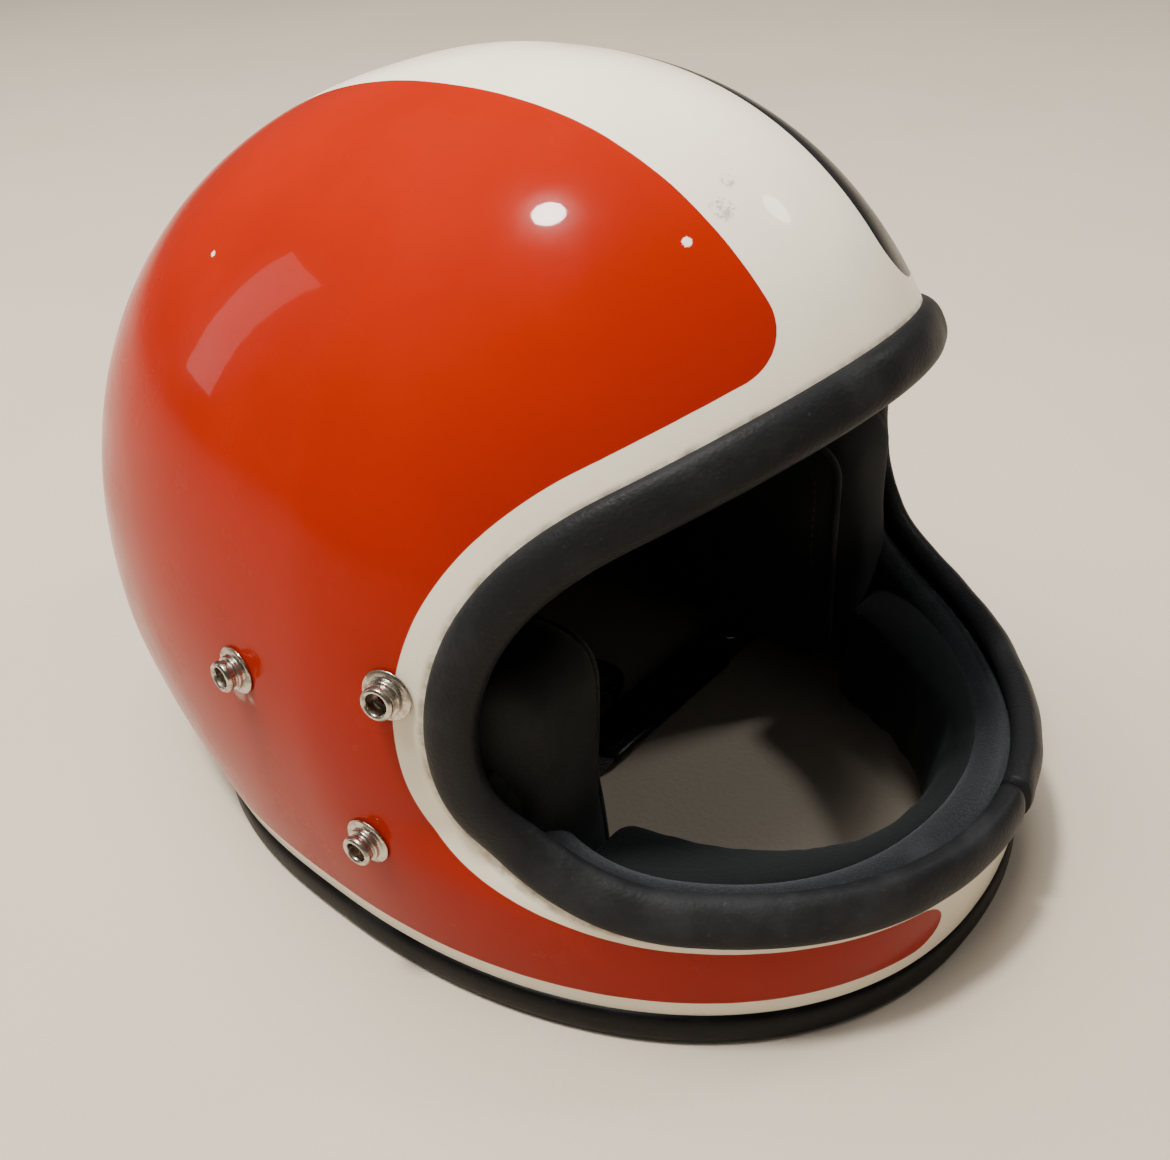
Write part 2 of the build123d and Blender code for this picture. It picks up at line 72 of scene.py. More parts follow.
# Eyeport: side view of the trim's outer border, a line along the chin, four arcs and the brow line.
PORT_START = (-113.0 * MM, 44.0 * MM)
PORT_CHIN_SLOPE = 4.6
PORT_ARCS = ((103.0 * MM, 25.0), (46.5 * MM, 50.0), (85.0 * MM, 27.0), (73.0 * MM, 41.4))
TRIM_WIDTH = 14.7 * MM
BEAD_HEIGHT = 12.0 * MM
BEAD_HALF_DEPTH = 3.9 * MM

NO_INSET = (0.0, 0.0, 0.0, 0.0)        # side, front, rear, top
HEAD_INSET = (35.0 * MM, 35.0 * MM, 55.0 * MM, 38.0 * MM)


def arch(share, power):
    """Height of a superellipse arch of span 1."""
    return np.clip(1.0 - np.clip(share, 0.0, 1.0) ** power, 0.0, 1.0) ** (1.0 / power)


def reaches(z, inset=NO_INSET):
    """Half width, front reach and rear reach of the form at heights z."""
    z = np.asarray(z, float)
    side, front_in, rear, top = inset
    share = (z - WAIST_Z) / (CROWN_Z - top - WAIST_Z)
    down = np.clip((WAIST_Z - z) / WAIST_Z, 0.0, 1.2)
    blend = np.clip((z - CHIN_Z) / (WAIST_Z - CHIN_Z), 0.0, 1.0)
    blend = blend * blend * (3.0 - 2.0 * blend)
    fall = np.clip((CHIN_Z - z) / CHIN_Z, 0.0, 1.3)
    high = z >= WAIST_Z
    low_width = HALF_WIDTH * (1.0 - (1.0 - FOOT_WIDTH_SHARE) * down**2) - side
    low_back = REAR_REACH * (1.0 - (1.0 - FOOT_REAR_SHARE) * down**1.6) - rear
    chin = CHIN_REACH + (BROW_REACH - CHIN_REACH) * blend + (CHIN_FOOT_REACH - CHIN_REACH) * fall**2
    width = np.where(high, (HALF_WIDTH - side) * arch(share, DOME_POWER), low_width)
    back = np.where(high, (REAR_REACH - rear) * arch(share, DOME_POWER), low_back)
    front = np.where(high, (BROW_REACH - front_in) * arch(share, BROW_POWER), chin - front_in)
    return width, front, back


def powers(z):
    """Squareness of the front and rear halves of a section at heights z."""
    low = np.clip((WAIST_Z - np.asarray(z, float)) / WAIST_Z, 0.0, 1.0)
    front = FRONT_POWERS[0] + (FRONT_POWERS[1] - FRONT_POWERS[0]) * low
    rear = REAR_POWERS[0] + (REAR_POWERS[1] - REAR_POWERS[0]) * low
    return front, rear


def form_points(angle, z, inset=NO_INSET):
    """Points of the form at plan angles (0 is the wearer's left, 90 degrees the back) and heights."""
    width, front, back = reaches(z, inset)
    front_n, rear_n = powers(z)
    across, along = np.cos(angle), np.sin(angle)
    n = np.where(along > 0.0, rear_n, front_n)
    reach = np.where(along > 0.0, back, front)
    x = np.sign(across) * np.abs(across) ** (2.0 / n) * width
    y = np.sign(along) * np.abs(along) ** (2.0 / n) * reach + EAR_Y
    return np.stack([x, y, np.broadcast_to(z, x.shape)], -1)


def side_x(y, z):
    """Distance of the form's side from the middle plane at depths y and heights z."""
    width, front, back = reaches(z)
    front_n, rear_n = powers(z)
    along = np.asarray(y, float) - EAR_Y
    n = np.where(along > 0.0, rear_n, front_n)
    share = np.abs(along) / np.where(along > 0.0, back, front)
    return width * arch(share, n)


def form_normals(points):
    """Outward unit normals of the form at points on it, below the crown."""
    def level(p):
        width, front, back = reaches(p[:, 2])
        front_n, rear_n = powers(p[:, 2])
        along = p[:, 1] - EAR_Y
        n = np.where(along > 0.0, rear_n, front_n)
        reach = np.where(along > 0.0, back, front)
        return (np.abs(p[:, 0]) / width) ** n + (np.abs(along) / reach) ** n
    step = 0.2 * MM
    slope = [level(points + step * axis) - level(points - step * axis) for axis in np.eye(3)]
    slope = np.stack(slope, -1)
    return slope / np.linalg.norm(slope, axis=1, keepdims=True)


def port_line(inset, reach=0.3, step=1.5 * MM):
    """Side view (y, z) of a line inset from the trim's outer border, from the chin round to the brow."""
    rise = np.radians(PORT_CHIN_SLOPE)
    point = np.array([EAR_Y + PORT_START[0], PORT_START[1]]) + inset * np.array([-np.sin(rise), np.cos(rise)])
    heading = np.array([np.cos(rise), np.sin(rise)])
    parts = [point + heading * s for s in np.arange(-reach, 0.0, step)]
    turned = PORT_CHIN_SLOPE
    for border_radius, turn in PORT_ARCS:
        radius = border_radius - inset
        a = np.radians(turned)
        centre = point + radius * np.array([-np.sin(a), np.cos(a)])
        count = max(8, int(radius * np.radians(turn) / step))
        angles = np.radians(np.linspace(turned, turned + turn, count + 1))
        parts += [centre + radius * np.array([np.sin(b), -np.cos(b)]) for b in angles[:-1]]
        turned += turn
        point = centre + radius * np.array([np.sin(angles[-1]), -np.cos(angles[-1])])
    heading = np.array([np.cos(np.radians(turned)), np.sin(np.radians(turned))])
    parts += [point + heading * s for s in np.arange(0.0, reach, step)]
    return np.array(parts)


def port_distance(points):
    """Side-view distance from the trim's outer border, positive on the shell, negative in the eyeport."""
    line = port_line(0.0)
    flat = points[:, 1:]
    best = np.full(len(flat), 9.0)
    side = np.ones(len(flat))
    for a, b in zip(line[:-1], line[1:]):
        ab = b - a
        t = np.clip(((flat - a) @ ab) / (ab @ ab), 0.0, 1.0)
        distance = np.linalg.norm(flat - a - t[:, None] * ab, axis=1)
        cross = ab[0] * (flat[:, 1] - a[1]) - ab[1] * (flat[:, 0] - a[0])
        nearer = distance < best
        best = np.where(nearer, distance, best)
        side = np.where(nearer, -np.sign(cross), side)
    return best * side


def resample(points, step, closed):
    """The same polyline with evenly spaced points."""
    if closed:
        points = np.vstack([points, points[:1]])
    along = np.concatenate([[0.0], np.cumsum(np.linalg.norm(np.diff(points, axis=0), axis=1))])
    count = max(8, int(round(along[-1] / step)))
    marks = np.linspace(0.0, along[-1], count + 1)
    even = np.stack([np.interp(marks, along, points[:, i]) for i in range(3)], -1)
    return even[:-1] if closed else even


def port_loop(inset, step):
    """Closed loop on the form along the eyeport, right side first, from the chin's middle."""
    line = port_line(inset, step=0.25 * MM)
    x = side_x(line[:, 0], line[:, 1])
    on_form = np.flatnonzero(x > 0.0)
    line = line[on_form[0] - 1:on_form[-1] + 2]
    for end, neighbour in ((0, 1), (-1, -2)):
        inside, outside = line[neighbour].copy(), line[end].copy()
        for _ in range(50):
            middle = (inside + outside) / 2.0
            if side_x(middle[0], middle[1]) > 0.0:
                inside = middle
            else:
                outside = middle
        line[end] = inside
    fine = []
    for first, last in ((line[0], line[1]), (line[-2], line[-1])):
        share = np.linspace(0.0, 1.0, 60) ** 3
        share = share if first is line[0] else 1.0 - share[::-1]
        fine.append(first + (last - first) * share[:, None])
    line = np.vstack([fine[0], line[2:-2], fine[1]])
    right = np.column_stack([-side_x(line[:, 0], line[:, 1]), line])
    left = right[::-1] * np.array([-1.0, 1.0, 1.0])
    return resample(np.vstack([right, left]), step, closed=True)


def foot_loop(z, step):
    """Closed level loop on the form."""
    angle = np.linspace(0.0, 2.0 * np.pi, 1440, endpoint=False)
    return resample(form_points(angle, np.full(angle.shape, z)), step, closed=True)


# ---------------------------------------------------------------- mesh helpers
SEWN_STEP = 1.5 * MM


def smooth(values, rounds):
    """Running average round a closed loop of vectors."""
    for _ in range(rounds):
        values = (np.roll(values, 1, 0) + 2.0 * values + np.roll(values, -1, 0)) / 4.0
    return values


def unit(vectors):
    return vectors / np.linalg.norm(vectors, axis=1, keepdims=True)


def ease(normals):
    """Evens out unit normals along an open path, in place, keeping both ends."""
    for _ in range(8):
        normals[1:-1] = unit(normals[:-2] + 2.0 * normals[1:-1] + normals[2:])


def add_object(name, points, faces, material, slot, body="helmet", replaces=()):
    """New smooth-shaded piece that rides on a body."""
    mesh = bpy.data.meshes.new(name)
    mesh.from_pydata([tuple(p) for p in points], [], faces)
    mesh.update()
    piece = bpy.data.objects.new(name, mesh)
    bpy.context.scene.collection.objects.link(piece)
    finish_piece(piece, material, body, replaces)
    return piece


def finish_piece(piece, material, body="helmet", replaces=()):
    """Shading, material and body of a new piece."""
    for face in piece.data.polygons:
        face.use_smooth = True
    piece.data.materials.clear()
    piece.data.materials.append(material)
    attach(piece, body)
    if replaces:
        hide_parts(*replaces)


def ring_faces(rings, around, close_rings, caps):
    """Quads between rings of points, with n-gon ends where caps is set."""
    faces = []
    for i in range(rings if close_rings else rings - 1):
        j = (i + 1) % rings
        for k in range(around):
            m = (k + 1) % around
            faces.append((i * around + k, i * around + m, j * around + m, j * around + k))
    if caps:
        faces.append(tuple(range(around))[::-1])
        faces.append(tuple((rings - 1) * around + k for k in range(around)))
    return faces


def outward(piece):
    """Turns all faces of a closed piece outwards."""
    shape = bmesh.new()
    shape.from_mesh(piece.data)
    bmesh.ops.recalc_face_normals(shape, faces=shape.faces)
    shape.to_mesh(piece.data)
    shape.free()


def apply_modifiers(piece):
    """Writes a piece's modifiers into its mesh."""
    graph = bpy.context.evaluated_depsgraph_get()
    mesh = bpy.data.meshes.new_from_object(piece.evaluated_get(graph))
    piece.modifiers.clear()
    piece.data = mesh


def cut_away(piece, field):
    """Cuts a mesh cleanly along field = 0 and removes what lies below it."""
    shape = bmesh.new()
    shape.from_mesh(piece.data)
    shape.verts.ensure_lookup_table()
    values = field(np.array([v.co[:] for v in shape.verts]))
    level = {vert: value for vert, value in zip(shape.verts, values)}
    cuts = []
    for edge in list(shape.edges):
        a, b = edge.verts
        if level[a] * level[b] < 0.0:
            _, vert = bmesh.utils.edge_split(edge, a, level[a] / (level[a] - level[b]))
            cuts.append(vert)
            level[vert] = 0.0
    bmesh.ops.connect_verts(shape, verts=cuts)
    gone = [vert for vert in shape.verts if level.get(vert, 0.0) < 0.0]
    bmesh.ops.delete(shape, geom=gone, context="VERTS")
    shape.to_mesh(piece.data)
    shape.free()


def form_mesh(name, inset, material, slot, cell, low_z):
    """Open dome of the form from low_z to the crown, in cells of about the given size."""
    around = int(2.0 * np.pi * 0.14 / cell) // 4 * 4
    angle = np.linspace(0.0, 2.0 * np.pi, around, endpoint=False)
    rise = CROWN_Z - inset[3] - WAIST_Z
    lower = np.arange(low_z, WAIST_Z, cell)
    turns = np.radians(np.linspace(0.0, 89.3, int(rise * 1.57 / cell)))
    heights = np.concatenate([lower, WAIST_Z + rise * np.sin(turns)])
    points = np.vstack([form_points(angle, np.full(angle.shape, z), inset) for z in heights])
    faces = ring_faces(len(heights), around, False, False)
    top = len(points)
    points = np.vstack([points, [(0.0, EAR_Y, CROWN_Z - inset[3])]])
    last = (len(heights) - 1) * around
    faces += [(last + k, last + (k + 1) % around, top) for k in range(around)]
    return add_object(name, points, faces, material, slot)


def sweep(name, path, normals, section, material, slot, closed, ripple=None, **kind):
    """Solid of a closed section (across, out) carried along a path; across points into the eyeport."""
    if closed:
        ahead = np.roll(path, -1, 0) - np.roll(path, 1, 0)
    else:
        ahead = np.gradient(path, axis=0)
    ahead = unit(ahead)
    normals = unit(normals - (normals * ahead).sum(1, keepdims=True) * ahead)
    across = np.cross(ahead, normals)
    out = section[None, :, 1]
    if ripple is not None:
        out = out + ripple
    points = path[:, None] + across[:, None] * section[None, :, :1] + normals[:, None] * out[..., None]
    rings, around = points.shape[:2]
    faces = ring_faces(rings, around, closed, not closed)
    piece = add_object(name, points.reshape(-1, 3), faces, material, slot, **kind)
    outward(piece)
    return piece


def oval(half_width, half_height, power, count, centre=(0.0, 0.0)):
    """Superellipse section."""
    angle = np.linspace(0.0, 2.0 * np.pi, count, endpoint=False)
    c, s = np.cos(angle), np.sin(angle)
    across = np.sign(c) * np.abs(c) ** (2.0 / power) * half_width + centre[0]
    out = np.sign(s) * np.abs(s) ** (2.0 / power) * half_height + centre[1]
    return np.column_stack([across, out])


def seat_on(pad, path, closed):
    """Nearest places on a pad's surface along a path, and the surface's normals there."""
    tree = BVHTree.FromObject(pad, bpy.context.evaluated_depsgraph_get())
    hits = [tree.find_nearest(Vector(point)) for point in resample(path, SEWN_STEP, closed)]
    return np.array([hit[0][:] for hit in hits]), unit(np.array([hit[1][:] for hit in hits]))


def piping(name, pad, path, radius, closed=True, **kind):
    """Thin cord sewn along a path on a pad's surface."""
    seat, normals = seat_on(pad, path, closed)
    if closed:
        seat = smooth(seat, 2)
        normals = unit(smooth(normals, 4))
    seat = seat + normals * radius * 0.4
    return sweep(name, seat, normals, oval(radius, radius, 2.0, 10), closed=closed, **kind)


# ---------------------------------------------------------------- materials
def new_material(name, **sockets):
    """Principled material with these values on its own sockets; returns it with its tree and shader."""
    material = bpy.data.materials.new(name)
    material.use_nodes = True
    tree = material.node_tree
    shader = tree.nodes["Principled BSDF"]
    for socket, value in sockets.items():
        shader.inputs[socket.replace("_", " ")].default_value = value
    return material, tree, shader


def node(tree, kind, links=(), **settings):
    """New node with its settings, sockets given by number in links as (socket, value or output)."""
    made = tree.nodes.new(kind)
    for name, value in settings.items():
        setattr(made, name, value)
    for socket, value in links:
        if isinstance(value, bpy.types.NodeSocket):
            tree.links.new(value, made.inputs[socket])
        else:
            made.inputs[socket].default_value = value
    return made


def place(tree):
    """Object coordinates, in metres in the helmet's frame."""
    return node(tree, "ShaderNodeTexCoord").outputs["Object"]


def noise(tree, scale, detail=3.0, rough=0.55, vector=None):
    """Noise from 0 to 1, scale in cycles per metre."""
    source = place(tree) if vector is None else vector
    made = node(tree, "ShaderNodeTexNoise", (("Vector", source), ("Scale", scale), ("Detail", detail)))
    made.inputs["Roughness"].default_value = rough
    return made.outputs["Fac"]


def ranged(tree, value, low, high, to_low=0.0, to_high=1.0, kind="SMOOTHSTEP"):
    """Maps low..high to to_low..to_high."""
    links = ((0, value), (1, low), (2, high), (3, to_low), (4, to_high))
    return node(tree, "ShaderNodeMapRange", links, interpolation_type=kind).outputs[0]


def maths(tree, operation, a, b=0.0):
    return node(tree, "ShaderNodeMath", ((0, a), (1, b)), operation=operation).outputs[0]


def blend_colour(tree, share, a, b, mode="MIX"):
    """Colour a where share is 0, b where it is 1."""
    made = node(tree, "ShaderNodeMix", data_type="RGBA", blend_type=mode)
    for socket, value in ((0, share), (6, a), (7, b)):
        if isinstance(value, bpy.types.NodeSocket):
            tree.links.new(value, made.inputs[socket])
        elif socket == 0:
            made.inputs[socket].default_value = value
        else:
            made.inputs[socket].default_value = (*value, 1.0)
    return made.outputs[2]


def bump(tree, height, distance, strength=1.0, base=None):
    links = [("Strength", strength), ("Distance", distance), ("Height", height)]
    if base is not None:
        links.append(("Normal", base))
    return node(tree, "ShaderNodeBump", links).outputs[0]


def wire(tree, output, shader, socket):
    tree.links.new(output, shader.inputs[socket])


def near_point(tree, point, radius, ragged):
    """1 within a ragged spot around a point, else 0."""
    links = ((0, place(tree)), (1, point))
    distance = node(tree, "ShaderNodeVectorMath", links, operation="DISTANCE").outputs[1]
    edge = maths(tree, "MULTIPLY", noise(tree, 2600.0), ragged)
    return ranged(tree, maths(tree, "ADD", distance, edge), radius, radius * 0.8)


CREAM = (0.90, 0.82, 0.65)
ORANGE = (0.335, 0.012, 0.0012)
BLACK_PAINT = (0.010, 0.010, 0.011)
PRIMER = (0.86, 0.82, 0.74)
SCUFF = (0.50, 0.44, 0.35)
TRIM_BORDER_TONE = (0.30, 0.25, 0.18)
# colour of the patchy darker band painted on the shell just outside the trim
GLUE_COLOUR = (0.62, 0.50, 0.42)
DUST = (0.09, 0.085, 0.08)

# Small marks in the paint: places on the shell, and radii.
CHIPS = (((-0.0329, -0.0861, 0.2191), 0.0021), ((-0.0784, 0.0488, 0.2037), 0.0017))
SCUFFS = (((-0.0135, -0.0843, 0.2282), 0.0042), ((-0.0204, -0.0877, 0.2238), 0.0058))
GLUE = (((-0.1246, 0.0172, 0.0872), 0.0068), ((-0.1240, 0.0108, 0.0868), 0.0045))


TRIM_BORDER_REACH = 2.2            # millimetres of the shell beside the trim that are painted a patchy darker brown
PANEL_WAVER = 0.5            # unevenness of the masked paint edges, in millimetres


def paint_material():
    """Cream gloss, an orange panel on the wearer's right and a black one on the left, under clear coat."""
    material, tree, shader = new_material(
        "shell_gloss_paint", Coat_Weight=0.26, Coat_Roughness=0.035, Coat_IOR=1.4, Specular_IOR_Level=0.03)
    edge = node(tree, "ShaderNodeAttribute", attribute_name="panel_edge").outputs["Fac"]
    waver = maths(tree, "MULTIPLY", maths(tree, "SUBTRACT", noise(tree, 60.0), 0.5), PANEL_WAVER)
    inside = ranged(tree, maths(tree, "ADD", edge, waver), -0.12, 0.12)
    x = node(tree, "ShaderNodeSeparateXYZ", ((0, place(tree)),)).outputs[0]
    left = ranged(tree, x, -0.001, 0.001)
    panel = blend_colour(tree, left, ORANGE, BLACK_PAINT)
    cloudy = ranged(tree, noise(tree, 14.0, 5.0), 0.35, 0.7, 0.93, 1.03)
    colour = blend_colour(tree, inside, CREAM, panel)
    tint = node(tree, "ShaderNodeCombineXYZ", ((0, cloudy), (1, cloudy), (2, cloudy))).outputs[0]
    colour = blend_colour(tree, 1.0, colour, tint, "MULTIPLY")
    # a patchy darker brown band is painted on the shell along the trim's outer edge
    border = node(tree, "ShaderNodeAttribute", attribute_name="trim_gap").outputs["Fac"]
    by_trim = ranged(tree, border, TRIM_BORDER_REACH, 0.2)
    patchy = ranged(tree, noise(tree, 180.0, 5.0), 0.3, 0.7, 0.2, 0.9)
    trim_border_share = maths(tree, "MULTIPLY", by_trim, patchy)
    colour = blend_colour(tree, trim_border_share, colour, TRIM_BORDER_TONE)
    for point, radius in GLUE:
        smear = maths(tree, "MULTIPLY", near_point(tree, point, radius, 0.006), 0.55)
        colour = blend_colour(tree, smear, colour, GLUE_COLOUR)
    for point, radius in CHIPS:
        colour = blend_colour(tree, near_point(tree, point, radius, 0.0012), colour, PRIMER)
    scuffed = None
    for point, radius in SCUFFS:
        spot = near_point(tree, point, radius, 0.004)
        spot = maths(tree, "MULTIPLY", spot, ranged(tree, noise(tree, 900.0), 0.42, 0.62))
        scuffed = spot if scuffed is None else maths(tree, "MAXIMUM", scuffed, spot)
    colour = blend_colour(tree, scuffed, colour, SCUFF)
    wire(tree, colour, shader, "Base Color")
    wire(tree, ranged(tree, noise(tree, 45.0, 6.0), 0.3, 0.75, 0.16, 0.30), shader, "Roughness")
    peel = bump(tree, noise(tree, 130.0, 2.0), 0.00012, 0.35)
    step = bump(tree, inside, 0.00006, 0.8, peel)
    wire(tree, step, shader, "Normal")
    wire(tree, bump(tree, noise(tree, 90.0, 2.0), 0.0001, 0.22), shader, "Coat Normal")
    return material


def vinyl_material(name, colour, rough, grain_scale, grain_depth):
    """Grained black vinyl or rubber with slightly polished high spots and dust in the grain."""
    material, tree, shader = new_material(name, Specular_IOR_Level=0.13)
    grain = node(tree, "ShaderNodeTexVoronoi", (("Vector", place(tree)), ("Scale", grain_scale)),
                 feature="SMOOTH_F1").outputs["Distance"]
    patches = noise(tree, 40.0, 5.0)
    pale = tuple(value * 1.7 + 0.004 for value in colour)
    tone = blend_colour(tree, ranged(tree, patches, 0.45, 0.75), colour, pale)
    dusty = ranged(tree, noise(tree, 700.0, 4.0), 0.62, 0.76, 0.0, 0.2)
    wire(tree, blend_colour(tree, dusty, tone, DUST), shader, "Base Color")
    wire(tree, ranged(tree, patches, 0.3, 0.8, rough - 0.07, rough + 0.1), shader, "Roughness")
    fine = bump(tree, noise(tree, grain_scale * 1.7, 4.0), grain_depth * 0.6, 0.5)
    wire(tree, bump(tree, grain, grain_depth, 0.55, fine), shader, "Normal")
    return material


def cloth_material(name, colour, pale, knit, depth, fuzz, thread=0.5):
    """Knitted or brushed cloth: rows of loops knit to the metre, fluff, and worn, paler places."""
    material, tree, shader = new_material(name, Roughness=0.92, Sheen_Weight=fuzz, Sheen_Roughness=0.45)
    shader.inputs["Sheen Tint"].default_value = (0.30, 0.33, 0.36, 1.0)
    source = place(tree)
    warp = node(tree, "ShaderNodeTexWave", (("Vector", source), ("Scale", knit), ("Distortion", 1.5),
                ("Detail", 2.0), ("Detail Scale", 2.0)), bands_direction="Z").outputs["Fac"]
    weft = node(tree, "ShaderNodeTexWave", (("Vector", source), ("Scale", knit), ("Distortion", 1.5),
                ("Detail", 2.0), ("Detail Scale", 2.0)), bands_direction="DIAGONAL").outputs["Fac"]
    threads = maths(tree, "MULTIPLY", warp, weft)
    fluff = noise(tree, knit * 2.4, 6.0, 0.7)
    worn = ranged(tree, noise(tree, 26.0, 4.0), 0.50, 0.72)
    tone = blend_colour(tree, worn, colour, pale)
    fleck = ranged(tree, fluff, 0.50, 0.70, 0.0, 0.75)
    wire(tree, blend_colour(tree, fleck, tone, pale), shader, "Base Color")
    rough = bump(tree, fluff, depth, 0.8)
    wire(tree, bump(tree, threads, depth * 0.7, thread, rough), shader, "Normal")
    return material


NYLON_DEEP = (0.008, 0.008, 0.009)
NYLON_HIGH = (0.045, 0.046, 0.050)


def webbing_material():
    """Flat woven nylon: ribs along the strap, picks across it."""
    material, tree, shader = new_material("strap_webbing", Roughness=0.62, Sheen_Weight=0.15)
    source = place(tree)
    ribs = node(tree, "ShaderNodeTexWave", (("Vector", source), ("Scale", 330.0), ("Distortion", 0.4)),
                bands_direction="Y").outputs["Fac"]
    picks = node(tree, "ShaderNodeTexWave", (("Vector", source), ("Scale", 210.0), ("Distortion", 0.8)),
                 bands_direction="DIAGONAL").outputs["Fac"]
    weave = maths(tree, "MULTIPLY", ribs, picks)
    wire(tree, blend_colour(tree, weave, NYLON_DEEP, NYLON_HIGH), shader, "Base Color")
    wire(tree, bump(tree, weave, 0.0004, 0.8), shader, "Normal")
    return material


def metal_material(name, colour, tarnish, low_rough, high_rough):
    """Plated metal with tarnish in patches, fine pits and worn, brighter places."""
    material, tree, shader = new_material(name, Metallic=1.0)
    patches = noise(tree, 320.0, 6.0, 0.65)
    mask = ranged(tree, patches, 0.44, 0.66)
    wire(tree, blend_colour(tree, mask, colour, tarnish), shader, "Base Color")
    wire(tree, ranged(tree, patches, 0.35, 0.7, low_rough, high_rough), shader, "Roughness")
    pits = node(tree, "ShaderNodeTexVoronoi", (("Vector", place(tree)), ("Scale", 1500.0)))
    wire(tree, bump(tree, pits.outputs["Distance"], 0.00004, 0.5), shader, "Normal")
    return material


BEAD_TONE = (0.055, 0.055, 0.056)
BEAD_GAP_TONE = (0.022, 0.022, 0.023)


def foam_material():
    """Grey expanded bead foam: packed beads with fine gaps between them."""
    material, tree, shader = new_material("bead_foam", Roughness=0.85)
    beads = node(tree, "ShaderNodeTexVoronoi", (("Vector", place(tree)), ("Scale", 330.0))).outputs
    gaps = ranged(tree, beads["Distance"], 0.2, 0.6)
    tone = blend_colour(tree, gaps, BEAD_TONE, BEAD_GAP_TONE)
    wire(tree, tone, shader, "Base Color")
    wire(tree, bump(tree, maths(tree, "SUBTRACT", 1.0, beads["Distance"]), 0.0006, 0.6), shader, "Normal")
    return material


paint = paint_material()
vinyl = vinyl_material("trim_vinyl_grain", (0.012, 0.0122, 0.013), 0.50, 900.0, 0.00022)
rubber = vinyl_material("beading_rubber", (0.003, 0.003, 0.003), 0.50, 500.0, 0.00010)
brushed = cloth_material(
    "lining_brushed_nylon", (0.0030, 0.0038, 0.0042), (0.010, 0.012, 0.013), 900.0, 0.0004, 0.16, 0.35)
fleece = cloth_material(
    "chin_pad_fleece", (0.0075, 0.0085, 0.0098), (0.026, 0.029, 0.033), 520.0, 0.0009, 0.34, 0.08)
thread_material = cloth_material(
    "sewing_thread", (0.016, 0.017, 0.018), (0.05, 0.05, 0.052), 2500.0, 0.0001, 0.2)
cord_cloth = cloth_material(
    "piping_cloth", (0.010, 0.011, 0.012), (0.05, 0.052, 0.055), 900.0, 0.0002, 0.3)
sleeve_vinyl = vinyl_material("sleeve_vinyl", (0.010, 0.010, 0.011), 0.36, 1100.0, 0.00012)
webbing = webbing_material()
nickel = metal_material("worn_nickel", (0.58, 0.53, 0.46), (0.30, 0.265, 0.22), 0.20, 0.46)
zinc = metal_material("zinc_plate", (0.50, 0.50, 0.49), (0.36, 0.35, 0.33), 0.28, 0.5)
foam = foam_material()

# ---------------------------------------------------------------- shell and its paint panels
BAND_HALF = 25.5 * MM        # white band over the crown
PANEL_GAP = 8.5 * MM         # white strip between the trim and the panels
CHIN_GAP = 3.6 * MM          # the same along the chin bar
PANEL_FOOT_Z = 17.8 * MM
TRIM_GRIP = 9.5 * MM         # how far the shell's edge reaches into the trim
PANEL_CORNER_LOW = 9.0 * MM
PANEL_CORNER_HIGH = 15.0 * MM
STRIP_WIDENS_Z = 42.0 * MM   # the strip widens from here
STRIP_WIDENS_BY = 24.0 * MM  # over this height
SHELL_CELL = 2.4 * MM


def panel_edges(points):
    """Distance in millimetres from the painted panels' borders, positive inside them."""
    z = points[:, 2]
    high = np.clip((z - STRIP_WIDENS_Z) / STRIP_WIDENS_BY, 0.0, 1.0)
    high = high * high * (3.0 - 2.0 * high)
    strip = CHIN_GAP + (PANEL_GAP - CHIN_GAP) * high
    corner = PANEL_CORNER_LOW + (PANEL_CORNER_HIGH - PANEL_CORNER_LOW) * high
    sides = np.stack([np.abs(points[:, 0]) - BAND_HALF, port_distance(points) - strip, z - PANEL_FOOT_Z])
    short = np.maximum(corner - sides, 0.0)
    return (corner - np.sqrt((short**2).sum(0))) / MM


def make_shell():
    """Moulded shell, open at the eyeport and the foot, with its edge inside the trim and the beading."""
    piece = form_mesh("shell_moulding", NO_INSET, paint, "shell_paint", SHELL_CELL, SHELL_CELL)
    cut_away(piece, lambda p: p[:, 2] - FOOT_Z)
    cut_away(piece, lambda p: port_distance(p) + TRIM_GRIP)
    points = np.array([v.co[:] for v in piece.data.vertices])
    edge = piece.data.attributes.new("panel_edge", "FLOAT", "POINT")
    edge.data.foreach_set("value", panel_edges(points))
    border = piece.data.attributes.new("trim_gap", "FLOAT", "POINT")
    border.data.foreach_set("value", port_distance(points) / MM)
    wall = piece.modifiers.new("wall", "SOLIDIFY")
    wall.thickness = SHELL_WALL
    wall.offset = -1.0
    finish_piece(piece, paint, replaces=("outer_shell",))


# ---------------------------------------------------------------- edgings
TRIM_STEP = 1.6 * MM
TRIM_HALF_WIDTH = 7.6 * MM
TRIM_HALF_HEIGHT = 4.7 * MM
EDGING_SUNK = 1.3 * MM                 # middle of both edgings' sections below the shell's face
SEAM_X = 11.6 * MM
CHIN_TOP_Z = 80.0 * MM
CHIN_BACK_Y = EAR_Y - 100.0 * MM
TRIM_WAVES = ((0.053, 0.4, 0.16 * MM), (0.031, 1.9, 0.12 * MM), (0.0173, 2.7, 0.07 * MM))
SEAM_LIP = 1.0 * MM
SEAM_LIP_REACH = 5.0 * MM
SEAM_PINCH = 0.7 * MM
SEAM_PINCH_REACH = 2.0 * MM


